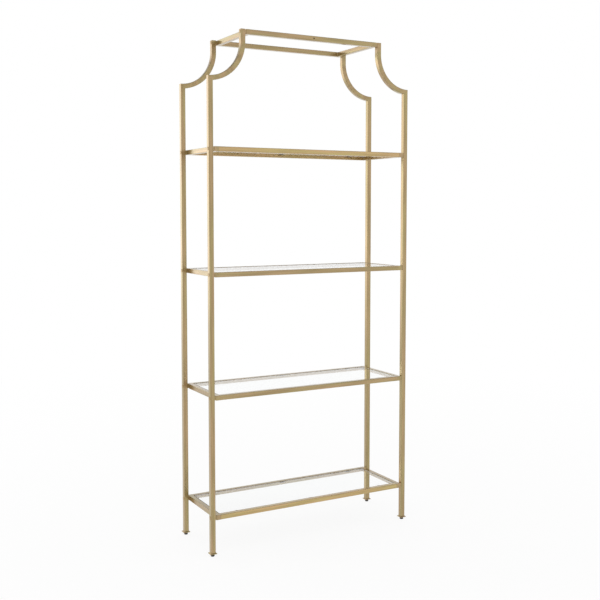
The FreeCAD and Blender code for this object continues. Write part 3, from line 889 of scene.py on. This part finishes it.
@dataclass
class LevellingFoot:
    """One foot: a welded plate with softened rims, its weld bead, and a glide on a threaded stud."""

    effects: Effects
    corner: Corner
    plate_corner: float = 2.0 * MM
    plate_rim: float = 0.7 * MM
    plate_hole: float = 4.3 * MM
    tube_half: float = TUBE / 2
    tube_corner: float = TUBE_CORNER
    bead_leg: float = 1.7 * MM
    bead_root: float = 0.2 * MM
    bead_steps: int = 5
    thread_pitch: float = 1.25 * MM
    thread_depth: float = 0.65 * MM
    thread_sides: int = 28
    thread_levels: int = 8
    stud_chamfer: float = 1.0 * MM

    def build(self) -> None:
        """Make the plate, the bead and the stud, and dress the glide."""
        label = self.corner.label
        self.build_plate(label)
        self.build_bead(label)
        self.build_stud(label)
        dress("glide_" + label, BLACK_PLASTIC.material(self.effects))

    def build_plate(self, label: str) -> None:
        """Make the foot plate round its hole.

        Args:
            label: The corner's label.
        """
        low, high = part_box("foot_plate_" + label)
        centre, half = (low + high) / 2, (high - low) / 2

        def outline(inset: float, height: float) -> Ring:
            """Return the plate's outline at an inset and a height."""
            ring = rounded_rectangle(half.x - inset, half.y - inset, self.plate_corner - inset, height)
            return [point + Vector((centre.x, centre.y, 0)) for point in ring]

        rims = edge_rings(outline, low.z, high.z, self.plate_rim)
        for height in (high.z, low.z):
            hole = []
            for point in outline(0.0, height):
                way = Vector((point.x - centre.x, point.y - centre.y, 0)).normalized()
                hole.append(Vector((centre.x, centre.y, height)) + way * self.plate_hole)
            rims.append(hole)
        mesh = bmesh.new()
        sweep(mesh, rims, looped=True)
        plate = new_piece(f"foot_plate_{label}_soft", mesh, [SATIN_GOLD.material(self.effects)])
        attach(plate, "frame", Slot.GOLD, "foot_plate_" + label)

    def build_bead(self, label: str) -> None:
        """Make the weld bead round the post where it stands on the plate.

        Args:
            label: The corner's label.
        """
        low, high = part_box("foot_plate_" + label)
        centre = (low + high) / 2
        rings = []
        for out, up in fillet_section(self.bead_leg, self.bead_root, self.bead_steps):
            half = self.tube_half + out
            ring = rounded_rectangle(half, half, self.tube_corner + out, high.z + up)
            rings.append([point + Vector((centre.x, centre.y, 0)) for point in ring])
        mesh = bmesh.new()
        sweep(mesh, rings, looped=True)
        bead = new_piece(f"foot_weld_bead_{label}", mesh, [SATIN_GOLD.material(self.effects)])
        attach(bead, "frame", Slot.GOLD)

    def build_stud(self, label: str) -> None:
        """Make the leveller's stud with its cut thread.

        Args:
            label: The corner's label.
        """
        low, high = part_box("leveller_stud_" + label)
        centre, major = (low + high) / 2, (high.x - low.x) / 2
        levels = round((high.z - low.z) / self.thread_pitch * self.thread_levels)
        rings = []
        for level in range(levels + 1):
            z = low.z + (high.z - low.z) * level / levels
            limit = min(major, major - self.stud_chamfer + (high.z - z))
            ring = []
            for index in range(self.thread_sides):
                turn = index / self.thread_sides
                phase = ((z - low.z) / self.thread_pitch - turn) % 1.0
                cut = self.thread_depth * abs(2 * phase - 1)
                radius = min(limit, major - cut)
                x = centre.x + radius * math.cos(2 * math.pi * turn)
                y = centre.y + radius * math.sin(2 * math.pi * turn)
                ring.append(Vector((x, y, z)))
            rings.append(ring)
        mesh = bmesh.new()
        sweep(mesh, rings)
        stud = new_piece(f"leveller_thread_{label}", mesh, [ZINC.material(self.effects)])
        attach(stud, "leveller_" + label, Slot.ZINC, "leveller_stud_" + label)


@dataclass(frozen=True)
class Lamp:
    """One soft panel lamp of the studio, even in its middle and fading towards its border."""

    name: str
    place: Point
    aim: Point
    width: float
    height: float
    watts: float
    colour: tuple[float, float, float] = (1.0, 1.0, 1.0)
    even_share: float = 0.4

    def build(self) -> None:
        """Make the lamp and turn it to its aim."""
        light = bpy.data.lights.new(self.name, "AREA")
        light.energy = self.watts
        light.color = self.colour
        light.shape = "RECTANGLE"
        light.size, light.size_y = self.width, self.height
        self.soften(light)
        holder = bpy.data.objects.new(self.name, light)
        holder.location = self.place
        way = Vector(self.aim) - Vector(self.place)
        holder.rotation_euler = way.to_track_quat("-Z", "Y").to_euler()
        bpy.context.scene.collection.objects.link(holder)

    def soften(self, light: bpy.types.Light) -> None:
        """Fade the panel towards its border, so that glass mirrors no hard edge.

        Args:
            light: The lamp's light.
        """
        # The panel's own coordinates run from 0 to 1, so its border is this far from its middle.
        half = 0.5
        light.use_nodes = True
        light.node_tree.nodes.clear()
        wiring = Wiring(light.node_tree)
        split = wiring.add("ShaderNodeSeparateXYZ")
        wiring.join(wiring.add("ShaderNodeNewGeometry").outputs["Parametric"], split.inputs[0])
        fades = []
        for axis in ("X", "Y"):
            offset = wiring.add("ShaderNodeMath", {1: half}, operation="SUBTRACT")
            wiring.join(split.outputs[axis], offset.inputs[0])
            away = wiring.add("ShaderNodeMath", operation="ABSOLUTE")
            wiring.join(offset.outputs[0], away.inputs[0])
            fades.append(wiring.remap(away.outputs[0], half, half * self.even_share, "SMOOTHSTEP"))
        glow = wiring.add("ShaderNodeEmission")
        wiring.join(wiring.times(*fades), glow.inputs["Strength"])
        end = wiring.add("ShaderNodeOutputLight")
        wiring.join(glow.outputs[0], end.inputs["Surface"])


@dataclass
class Studio:
    """The pale floor, the white surround, the soft lamps and the camera at the photograph's angle."""

    floor_reach: float = 60.0
    floor_colour: Colour = (0.92, 0.92, 0.92, 1.0)
    floor_fade: tuple[float, float] = (1.0, 4.0)
    floor_glow: float = 0.90
    surround_light: float = 0.9
    zenith: Colour = (0.30, 0.30, 0.30, 1.0)
    zenith_rise: tuple[float, float] = (0.30, 0.50)
    camera_place: Point = (-1.836, -3.351, 1.350)
    camera_heading: float = 28.953
    camera_pitch: float = 3.819
    focal_pixels: float = 915.0
    frame_pixels: float = 600.0
    sensor: float = 36.0
    camera_shift: float = -0.050
    lamps: tuple[Lamp, ...] = (
        Lamp(
            "side_panel",
            place=(-2.3, 3.3, 1.70),
            aim=(0.0, 0.0, 1.5),
            width=3.4,
            height=3.3,
            watts=40.0,
            colour=(1.0, 0.99, 0.975),
        ),
    )

    def build(self) -> None:
        """Build the surround, the floor, the lamps and the camera."""
        bpy.context.scene.view_settings.view_transform = "Standard"
        self.build_surround()
        self.build_floor()
        for lamp in self.lamps:
            lamp.build()
        self.build_camera()

    @staticmethod
    def seen_directly(wiring: Wiring) -> bpy.types.NodeSocket:
        """Return a mask that is 1 for camera, glossy and transmission rays."""
        rays = wiring.add("ShaderNodeLightPath").outputs
        mirrored = wiring.combine("MAXIMUM", rays["Is Camera Ray"], rays["Is Glossy Ray"])
        return wiring.combine("MAXIMUM", mirrored, rays["Is Transmission Ray"])

    def build_surround(self) -> None:
        """Make the world: white round the horizon, dimmer overhead, and a plain level of light."""
        world = bpy.data.worlds.new("studio_surround")
        world.use_nodes = True
        world.node_tree.nodes.clear()
        wiring = Wiring(world.node_tree)
        split = wiring.add("ShaderNodeSeparateXYZ")
        wiring.join(wiring.add("ShaderNodeTexCoord").outputs["Generated"], split.inputs[0])
        overhead = wiring.remap(split.outputs["Z"], *self.zenith_rise)
        shown = wiring.add("ShaderNodeBackground", {"Strength": 1.0})
        wiring.join(wiring.blend(overhead, WHITE, self.zenith), shown.inputs["Color"])
        plain = {"Color": WHITE, "Strength": self.surround_light}
        lighting = wiring.add("ShaderNodeBackground", plain)
        choice = wiring.add("ShaderNodeMixShader")
        wiring.join(self.seen_directly(wiring), choice.inputs[0])
        wiring.join(lighting.outputs[0], choice.inputs[1])
        wiring.join(shown.outputs[0], choice.inputs[2])
        end = wiring.add("ShaderNodeOutputWorld")
        wiring.join(choice.outputs[0], end.inputs["Surface"])
        bpy.context.scene.world = world

    def build_floor(self) -> None:
        """Make the floor: pale and matt, keeping the object's shadow and fading to white far away."""
        made = bpy.data.materials.new("studio_floor")
        made.use_nodes = True
        made.node_tree.nodes.clear()
        wiring = Wiring(made.node_tree)
        distance = wiring.add("ShaderNodeVectorMath", operation="LENGTH")
        wiring.join(wiring.add("ShaderNodeTexCoord").outputs["Object"], distance.inputs[0])
        near, far = self.floor_fade
        limits = {"From Min": near, "From Max": far, "To Min": self.floor_glow, "To Max": 1.0}
        share = wiring.add("ShaderNodeMapRange", limits)
        wiring.join(distance.outputs["Value"], share.inputs["Value"])
        mask = wiring.times(share.outputs["Result"], self.seen_directly(wiring))
        matt = wiring.add("ShaderNodeBsdfDiffuse", {"Color": self.floor_colour})
        glow = wiring.add("ShaderNodeEmission", {"Color": WHITE, "Strength": 1.0})
        choice = wiring.add("ShaderNodeMixShader")
        wiring.join(mask, choice.inputs[0])
        wiring.join(matt.outputs[0], choice.inputs[1])
        wiring.join(glow.outputs[0], choice.inputs[2])
        end = wiring.add("ShaderNodeOutputMaterial")
        wiring.join(choice.outputs[0], end.inputs["Surface"])
        mesh = bmesh.new()
        bmesh.ops.create_grid(mesh, x_segments=1, y_segments=1, size=self.floor_reach)
        new_piece("studio_floor", mesh, [made])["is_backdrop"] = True

    def build_camera(self) -> None:
        """Make the camera and set it as the scene's."""
        data = bpy.data.cameras.new("photo_camera")
        data.sensor_width = self.sensor
        data.lens = self.focal_pixels / self.frame_pixels * self.sensor
        data.shift_y = self.camera_shift
        holder = bpy.data.objects.new("photo_camera", data)
        holder.location = self.camera_place
        tilt = math.radians(90 - self.camera_pitch)
        holder.rotation_euler = (tilt, 0.0, -math.radians(self.camera_heading))
        bpy.context.scene.collection.objects.link(holder)
        bpy.context.scene.camera = holder


def write_sizes() -> None:
    boxes = {"cad": CAD_BOX, "visual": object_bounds()}
    plain = {name: [list(low), list(high)] for name, (low, high) in boxes.items()}


def main() -> None:
    """Build every sub-assembly in order."""
    logging.basicConfig(level=logging.INFO, format="%(name)s: %(message)s")
    effects = Effects()
    Uprights(effects).build()
    TubeFrames(effects).build()
    for name in SHELF_NAMES:
        GlassShelf(effects, name).build()
    for corner in Corner:
        LevellingFoot(effects, corner).build()
    dress("leveller_nuts", ZINC.material(effects))
    Studio().build()
    write_sizes()


if __name__ == "__main__":
    main()
